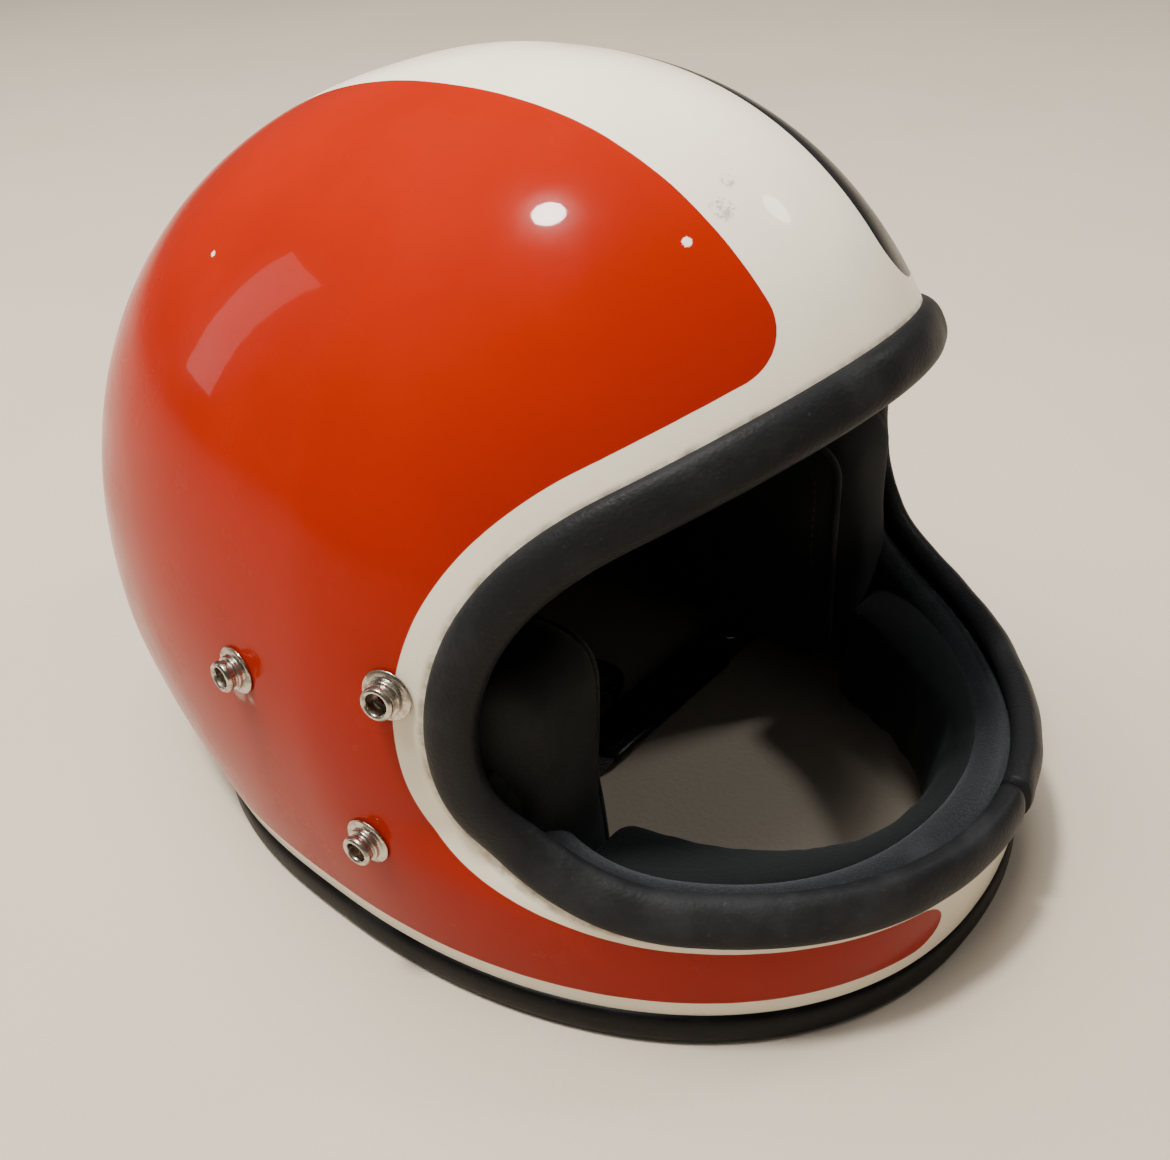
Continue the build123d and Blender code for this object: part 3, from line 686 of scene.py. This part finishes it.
def make_trim():
    """Padded vinyl trim round the eyeport, butted at a seam on the wearer's left of the chin."""
    path = port_loop(TRIM_WIDTH / 2.0, TRIM_STEP)
    chin = (path[:, 2] < CHIN_TOP_Z) & (path[:, 1] < CHIN_BACK_Y)
    start = int(np.argmin(np.where(chin, np.abs(path[:, 0] - SEAM_X), 9.0)))
    path = np.roll(path, -start, axis=0)
    path = smooth(path, 3)
    normals = unit(smooth(form_normals(path), 6))
    path = path[:-1]
    normals = normals[:-1]
    section = oval(TRIM_HALF_WIDTH, TRIM_HALF_HEIGHT, 2.35, 36, (0.0, -EDGING_SUNK))
    top = np.clip(section[:, 1] / (TRIM_HALF_HEIGHT - EDGING_SUNK), 0.0, 1.0)
    along = np.arange(len(path)) * TRIM_STEP
    waves = sum(np.sin(2.0 * np.pi * along / length + phase) * depth for length, phase, depth in TRIM_WAVES)
    from_end = np.minimum(along, along[-1] - along)
    lip = np.exp(-((along[-1] - along) / SEAM_LIP_REACH) ** 2) * SEAM_LIP
    pinch = np.exp(-(from_end / SEAM_PINCH_REACH) ** 2) * SEAM_PINCH
    out = (waves + lip - pinch)[:, None] * top[None]
    sweep("eyeport_padded_trim", path, normals, section, vinyl, "trim_vinyl", False, out,
          replaces=("eyeport_trim",))


def make_beading():
    """Rubber beading round the foot, rolled under the shell's edge."""
    path = foot_loop(BEAD_HEIGHT / 2.0, 2.0 * MM)
    outwards = form_normals(path)
    outwards[:, 2] = 0.0
    outwards = unit(smooth(unit(outwards), 3))
    section = oval(BEAD_HEIGHT / 2.0, BEAD_HALF_DEPTH, 3.2, 28, (0.0, -EDGING_SUNK))
    sweep("foot_beading", path, outwards, section, rubber, "bead_rubber", True, replaces=("bottom_beading",))


# ---------------------------------------------------------------- soft lining
LINER_CHEEK_Z = 121.0 * MM
LINER_NAPE_Z = 62.0 * MM
LINER_STEP_Y = EAR_Y + 36.0 * MM
CHIN_ROLL_INSET = 8.0 * MM
CHIN_ROLL_TOP_Z = 84.0 * MM
CHIN_ROLL_HALF = (11.0 * MM, 6.6 * MM)
CHIN_ROLL_CENTRE = (-4.5 * MM, -13.0 * MM)
LINER_FOOT_Z = 50.0 * MM
LINER_PORT_GAP = 1.5 * MM
LINER_CELL = 3.0 * MM
LINER_THICK = 4.6 * MM
LINER_SEAM_X = 30.0 * MM
LINER_SEAM_DEPTH = 1.8 * MM
LINER_SEAM_REACH = 4.0 * MM
LINER_SEAT = 0.4 * MM                  # the cloth's face lies this far inside the form of the lining
BROW_INSET = 6.0 * MM
BROW_ROLL_HALF = (6.8 * MM, 13.0 * MM)
BROW_ROLL_DEPTH = 20.5 * MM
BROW_PIPING_INSET = 11.5 * MM
BROW_PIPING_DEPTH = 26.0 * MM
PIPING_RADIUS = 1.1 * MM


def make_comfort_lining():
    """Quilted cloth liner over the head, sewn in panels."""
    piece = form_mesh("comfort_lining", HEAD_INSET, brushed, "lining_cloth", LINER_CELL, LINER_FOOT_Z)

    def kept(p):
        nape = np.minimum(p[:, 2] - LINER_NAPE_Z, p[:, 1] - LINER_STEP_Y)
        steps = np.maximum(p[:, 2] - LINER_CHEEK_Z, nape)
        return np.minimum(steps, port_distance(p) - LINER_PORT_GAP)

    cut_away(piece, kept)
    points = np.array([v.co[:] for v in piece.data.vertices])
    normals = np.array([v.normal[:] for v in piece.data.vertices])
    seams = np.abs(np.abs(points[:, 0]) - LINER_SEAM_X)
    sunk = LINER_SEAM_DEPTH * np.exp(-(seams / LINER_SEAM_REACH) ** 2)
    points = points + normals * (sunk - LINER_SEAT)[:, None]
    piece.data.vertices.foreach_set("co", points.ravel())
    wall = piece.modifiers.new("wall", "SOLIDIFY")
    wall.thickness = LINER_THICK
    wall.offset = 1.0
    finish_piece(piece, brushed, replaces=("comfort_liner",))


def brow_stretch(inset):
    """Part of the port loop over the brow, above the cheek pads, from right to left."""
    path = port_loop(inset, 2.4 * MM)
    return path[path[:, 2] > LINER_CHEEK_Z + 2.0 * MM]


def make_brow_roll():
    """Padded roll behind the brow trim, with piping along its lower edge."""
    path = brow_stretch(BROW_INSET)
    normals = unit(form_normals(path))
    ease(normals)
    section = oval(*BROW_ROLL_HALF, 2.6, 32, (0.0, -BROW_ROLL_DEPTH))
    piece = sweep("brow_roll", path, normals, section, brushed, "lining_cloth", False, replaces=("brow_pad",))
    lower = brow_stretch(BROW_PIPING_INSET)
    lower = lower - form_normals(lower) * BROW_PIPING_DEPTH
    piping("brow_piping", piece, lower[4:-4], PIPING_RADIUS, closed=False,
           material=cord_cloth, slot="lining_cloth")


STITCH_RINGS = ((0.0, -0.8, 0.5), (0.15, 0.2, 1.0), (0.5, 0.55, 1.0), (0.85, 0.2, 1.0), (1.0, -0.8, 0.5))
STITCH_SIDES = 6
STITCH_LENGTH = 2.6 * MM
STITCH_GAP = 1.1 * MM
STITCH_RADIUS = 0.32 * MM


def stitch_row(name, points, normals, body):
    """Row of short raised stitches along a line; each ring is a share of the length, a lift and a size."""
    run = resample(points, STITCH_LENGTH + STITCH_GAP, closed=False)
    all_points, faces = [], []
    for a, b in zip(run[:-1], run[1:]):
        ahead = (b - a) / np.linalg.norm(b - a)
        nearest = int(np.argmin(np.linalg.norm(points - a, axis=1)))
        up = normals[nearest]
        across = np.cross(ahead, up)
        start = len(all_points)
        for share, lift, size in STITCH_RINGS:
            centre = a + ahead * STITCH_LENGTH * share + up * STITCH_RADIUS * lift
            for angle in np.linspace(0.0, 2.0 * np.pi, STITCH_SIDES, endpoint=False):
                spoke = across * np.cos(angle) + up * np.sin(angle)
                all_points.append(centre + spoke * STITCH_RADIUS * size)
        for face in ring_faces(len(STITCH_RINGS), STITCH_SIDES, False, True):
            faces.append(tuple(start + corner for corner in face))
    add_object(name, all_points, faces, thread_material, "lining_cloth", body=body)


def seam_stitches(name, pad, path, closed, body="helmet"):
    """Sewn row on a pad's surface along a path."""
    seat, normals = seat_on(pad, path, closed)
    stitch_row(name, seat, normals, body)


VOXEL = 4.5 * MM
CHIN_VOXEL = 4.0 * MM
PRESSURE = 4.0
TENSION = 20.0
CLOTH_STEPS = 20


def stuffed(node_name, name, material, swell, voxel=VOXEL):
    """Padded piece from a plain CAD solid: remeshed, blown up a little by cloth simulation and smoothed."""
    source = nodes[node_name]
    piece = bpy.data.objects.new(name, source.data.copy())
    bpy.context.scene.collection.objects.link(piece)
    piece.matrix_world = source.matrix_world.copy()
    remesh = piece.modifiers.new("remesh", "REMESH")
    remesh.mode = "VOXEL"
    remesh.voxel_size = voxel
    soften = piece.modifiers.new("soften", "SMOOTH")
    soften.factor = 0.6
    soften.iterations = 6
    apply_modifiers(piece)
    rest = np.array([v.co[:] for v in piece.data.vertices])
    puff = piece.modifiers.new("cloth", "CLOTH")
    puff.settings.use_pressure = True
    puff.settings.uniform_pressure_force = PRESSURE
    puff.settings.effector_weights.gravity = 0.0
    puff.settings.quality = 5
    puff.settings.tension_stiffness = TENSION
    puff.collision_settings.use_collision = False
    scene = bpy.context.scene
    for step in range(1, CLOTH_STEPS + 1):
        scene.frame_set(step)
    apply_modifiers(piece)
    scene.frame_set(1)
    blown = np.array([v.co[:] for v in piece.data.vertices])
    move = blown - rest
    far = np.maximum(np.linalg.norm(move, axis=1, keepdims=True), 1e-9)
    rest = rest + move / far * np.minimum(far, swell)
    piece.data.vertices.foreach_set("co", rest.ravel())
    finer = piece.modifiers.new("finer", "SUBSURF")
    finer.levels = finer.render_levels = 1
    apply_modifiers(piece)
    finish_piece(piece, material, replaces=(node_name,))
    return piece


def rounded_loop(x, y, z, half_y, half_z, corner):
    """Closed rounded rectangle in an upright fore-and-aft plane."""
    points = []
    for quarter, (sy, sz) in enumerate(((1, 1), (-1, 1), (-1, -1), (1, -1))):
        for angle in np.radians(np.linspace(90.0 * quarter, 90.0 * (quarter + 1), 12)):
            points.append((x, y + sy * (half_y - corner) + corner * np.cos(angle),
                           z + sz * (half_z - corner) + corner * np.sin(angle)))
    return np.array(points)


CHEEK_PIPING_IN = 6.0 * MM             # the piping lies this far inside the pad's outline
CHEEK_PIPING_DEPTH = 3.0 * MM          # and this far behind its face
CHEEK_PIPING_CORNER = 11.0 * MM
CHEEK_PIPING_RADIUS = 1.2 * MM
CHEEK_SEAM_IN = 13.0 * MM
CHEEK_SEAM_CORNER = 9.0 * MM
CHEEK_SEAM_PROUD = 1.0 * MM


def make_cheek_pads():
    """Two thick cheek pads with a sewn face panel, piped round its edge."""
    for name, side in (("right", -1.0), ("left", 1.0)):
        pad = stuffed("cheek_pad_" + name, "cheek_cushion_" + name, brushed, 2.5 * MM)
        low, high = (np.array(corner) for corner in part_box("cheek_pad_" + name))
        middle = (low + high) / 2.0
        half = (high - low) / 2.0
        inner_x = low[0] if side > 0.0 else high[0]
        loop = rounded_loop(inner_x + side * CHEEK_PIPING_DEPTH, middle[1], middle[2],
                            half[1] - CHEEK_PIPING_IN, half[2] - CHEEK_PIPING_IN, CHEEK_PIPING_CORNER)
        piping("cheek_piping_" + name, pad, loop, CHEEK_PIPING_RADIUS,
               material=cord_cloth, slot="lining_cloth")
        inner = rounded_loop(inner_x - side * CHEEK_SEAM_PROUD, middle[1], middle[2],
                             half[1] - CHEEK_SEAM_IN, half[2] - CHEEK_SEAM_IN, CHEEK_SEAM_CORNER)
        seam_stitches("cheek_stitches_" + name, pad, inner, True)


def make_chin_roll():
    """Fleece-covered foam roll behind the trim, round the chin bar and up to the cheek pads."""
    path = port_loop(CHIN_ROLL_INSET, 2.0 * MM)
    middle = int(np.argmax(path[:, 2]))
    path = np.roll(path, -middle, axis=0)
    path = path[path[:, 2] < CHIN_ROLL_TOP_Z]
    normals = unit(form_normals(path))
    ease(normals)
    section = oval(*CHIN_ROLL_HALF, 2.4, 40, CHIN_ROLL_CENTRE)
    piece = sweep("chin_roll", path, normals, section, fleece, "lining_cloth", False,
                  replaces=("chin_bar_foam",))


def make_chin_and_nape_pads():
    stuffed("chin_bar_pad", "chin_cushion", brushed, 1.5 * MM, voxel=CHIN_VOXEL)
    stuffed("nape_pad", "nape_cushion", brushed, 2.0 * MM)


# ---------------------------------------------------------------- hardware
def stud_profile():
    """Radius and height round a snap stud: flange, stepped barrel, rolled lip, open well and hidden foot."""
    return np.array((
        (7.70, 0.35), (7.74, 0.55), (7.66, 0.78), (7.40, 0.98), (6.90, 1.12), (6.30, 1.20), (5.85, 1.28),
        (5.60, 1.42), (5.52, 1.62), (5.50, 2.00), (5.50, 2.55), (5.44, 2.80), (5.25, 2.98), (4.95, 3.07),
        (4.66, 3.12), (4.54, 3.24), (4.50, 3.45), (4.50, 4.05), (4.55, 4.25), (4.80, 4.38), (5.00, 4.55),
        (5.06, 4.85), (5.02, 5.35), (4.90, 5.80), (4.66, 6.16), (4.32, 6.36), (3.95, 6.40), (3.62, 6.28),
        (3.38, 6.02), (3.25, 5.60), (3.20, 5.00), (3.20, 1.90), (3.10, 1.70), (2.60, 1.66),
        (2.55, 0.35))) * MM


LIP_MIDDLE = 5.325 * MM                # the mount on a stud's lip above the flange's seat


def make_studs():
    """Three turned and plated snap studs on each side."""
    profile = stud_profile()
    around = 64
    angle = np.linspace(0.0, 2.0 * np.pi, around, endpoint=False)
    for side in ("right", "left"):
        points, faces = [], []
        for where in ("rear", "front", "lower"):
            mount = mounts["shield_stud_" + side + "_" + where]
            axis = Vector(mount["axis"]).normalized()
            base = Vector(mount["pos_m"]) - axis * LIP_MIDDLE
            first = axis.orthogonal().normalized()
            second = axis.cross(first)
            start = len(points)
            for radius, height in profile:
                for a in angle:
                    points.append(base + axis * height + (first * np.cos(a) + second * np.sin(a)) * radius)
            for face in ring_faces(len(profile), around, True, False):
                faces.append(tuple(start + corner for corner in face))
        piece = add_object("shield_studs_" + side, points, faces, nickel, "nickel",
                           replaces=("snap_studs_" + side,))
        outward(piece)


SEAM_SHARE = 0.70                      # place of the sewn groove across half the sleeve
HEM_SHARE = 0.72
END_ROUND = 1.5 * MM
PUFF_LENGTH = 11.0 * MM


def make_sleeve():
    """Padded vinyl sleeve on the left strap, with raised sewn edges."""
    low, high = (np.array(corner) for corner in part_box("strap_sleeve"))
    middle = (low + high) / 2.0
    half = (high - low) / 2.0
    section = oval(half[1], half[2], 3.0, 40)
    hem = np.clip((np.abs(section[:, 0]) / half[1] - HEM_SHARE) / 0.12, 0.0, 1.0)
    groove = np.exp(-((np.abs(section[:, 0]) / half[1] - SEAM_SHARE) / 0.07) ** 2)
    section[:, 1] *= 1.0 - 0.10 * hem - 0.16 * groove
    stations = np.linspace(low[0], high[0], 60)
    ends = np.minimum(stations - low[0], high[0] - stations)
    shrink = 1.0 - 0.30 * np.exp(-(ends / END_ROUND) ** 2)
    puff = 1.0 + 0.02 * np.sin(2.0 * np.pi * stations / PUFF_LENGTH)
    points = []
    for x, size in zip(stations, shrink * puff):
        wide = min(size, 1.0)
        points += [(x, middle[1] + across * wide, middle[2] + out * size) for across, out in section]
    faces = ring_faces(len(stations), len(section), False, True)
    piece = add_object("strap_comfort_sleeve", points, faces, sleeve_vinyl, "trim_vinyl",
                       body="strap_left_half", replaces=("strap_sleeve",))
    outward(piece)
    for edge, side in (("front", -1.0), ("rear", 1.0)):
        sewn = stations[3:-3]
        seam_y = middle[1] + side * half[1] * SEAM_SHARE
        row = np.column_stack([sewn, np.full(sewn.shape, seam_y), np.full(sewn.shape, high[2])])
        seam_stitches("sleeve_stitches_" + edge, piece, row, False, "strap_left_half")


def finish_cad_nodes():
    """Materials of the CAD nodes that stay in view."""
    looks = {
        "shock_liner": foam, "strap_right": webbing, "strap_left": webbing,
        "strap_snap_cap": nickel, "strap_snap_stud": nickel, "d_ring_upper": nickel, "d_ring_lower": nickel}
    for name, obj in nodes.items():
        if name in looks:
            look = looks[name]
        elif name.startswith(("snap_posts", "strap_eyelet")):
            look = nickel
        elif name.startswith(("snap_washers", "strap_hanger", "strap_rivet")):
            look = zinc
        else:
            continue
        obj.data.materials.clear()
        obj.data.materials.append(look)


make_shell()
make_trim()
make_beading()
make_comfort_lining()
make_brow_roll()
make_cheek_pads()
make_chin_roll()
make_chin_and_nape_pads()
make_studs()
make_sleeve()
finish_cad_nodes()


# ---------------------------------------------------------------- floor, light and camera
FLOOR_SIZE = 8.0
WARM = (1.0, 0.97, 0.93)
CEILING_TINT = (1.0, 0.968, 0.92)
FILL_TINT = (1.0, 0.965, 0.91)
DAYLIGHT = (0.95, 0.98, 1.0)
ROOM_TINT = (0.93, 0.91, 0.88, 1.0)
ROOM_LIGHT = 0.09                      # what the room adds to the light
ROOM_SEEN = 0.75                       # how bright it is behind the floor
LIT_MIDDLE = (0.0, 0.0, 0.12)          # all lights aim here

CAMERA_PLACE = (-0.2670, -0.2617, 0.3273)
CAMERA_RIGHT = (0.6482, -0.7593, -0.0570)
CAMERA_UP = (0.4698, 0.3399, 0.8146)
CAMERA_BACK = (-0.5990, -0.5550, 0.5770)
CAMERA_LENS = 38.33
CAMERA_SENSOR = 36.0


def make_floor():
    """Plain pale floor."""
    material, tree, shader = new_material("pale_floor", Roughness=0.9)
    shade = blend_colour(tree, noise(tree, 5.0, 4.0), (0.50, 0.43, 0.34), (0.56, 0.49, 0.40))
    wire(tree, shade, shader, "Base Color")
    wire(tree, bump(tree, noise(tree, 420.0, 3.0), 0.0008, 0.4), shader, "Normal")
    half = FLOOR_SIZE / 2.0
    mesh = bpy.data.meshes.new("floor")
    corners = [(x * half, y * half, 0.0) for x, y in ((-1, -1), (1, -1), (1, 1), (-1, 1))]
    mesh.from_pydata(corners, [], [(0, 1, 2, 3)])
    mesh.materials.append(material)
    floor = bpy.data.objects.new("floor", mesh)
    bpy.context.scene.collection.objects.link(floor)


def area_light(name, location, size, energy, colour, size_y=None, shape="SQUARE"):
    """Soft light aimed at the helmet."""
    data = bpy.data.lights.new(name, "AREA")
    data.shape = "RECTANGLE" if size_y else shape
    data.size = size
    if size_y:
        data.size_y = size_y
    data.energy = energy
    data.color = colour
    light = bpy.data.objects.new(name, data)
    light.location = location
    light.rotation_euler = (Vector(LIT_MIDDLE) - Vector(location)).to_track_quat("-Z", "Y").to_euler()
    bpy.context.scene.collection.objects.link(light)
    return light


def make_light():
    """Even studio light: a lamp, a window to the left and behind, a soft ceiling and a pale room."""
    area_light("lamp", (-0.35, 0.15, 1.68), 0.20, 31.0, WARM, shape="DISK")
    area_light("soft_lamp", (0.95, -0.60, 1.25), 0.22, 5.0, WARM, shape="DISK")
    ceiling = area_light("ceiling", (-0.2, 0.7, 2.3), 2.0, 114.0, CEILING_TINT)
    fill = area_light("fill", (-2.0, 0.5, 1.1), 1.5, 5.0, FILL_TINT)
    for broad in (ceiling, fill):
        broad.visible_glossy = False
    area_light("window", (-1.2, 2.3, 0.9), 0.35, 4.0, DAYLIGHT, size_y=1.2)
    world = bpy.data.worlds.new("room")
    world.use_nodes = True
    tree = world.node_tree
    background = tree.nodes["Background"]
    seen = node(tree, "ShaderNodeLightPath").outputs["Is Camera Ray"]
    background.inputs[0].default_value = ROOM_TINT
    strength = ranged(tree, seen, 0.0, 1.0, ROOM_LIGHT, ROOM_SEEN, "LINEAR")
    wire(tree, strength, background, "Strength")
    bpy.context.scene.world = world


def make_camera():
    """Looks down at the helmet from its front right."""
    data = bpy.data.cameras.new("camera")
    data.sensor_fit = "HORIZONTAL"
    data.sensor_width = CAMERA_SENSOR
    data.lens = CAMERA_LENS
    data.clip_start = 0.01
    camera = bpy.data.objects.new("camera", data)
    turn = Matrix((CAMERA_RIGHT, CAMERA_UP, CAMERA_BACK)).transposed().to_4x4()
    camera.matrix_world = Matrix.Translation(CAMERA_PLACE) @ turn
    bpy.context.scene.collection.objects.link(camera)
    bpy.context.scene.camera = camera


make_floor()
make_light()
make_camera()
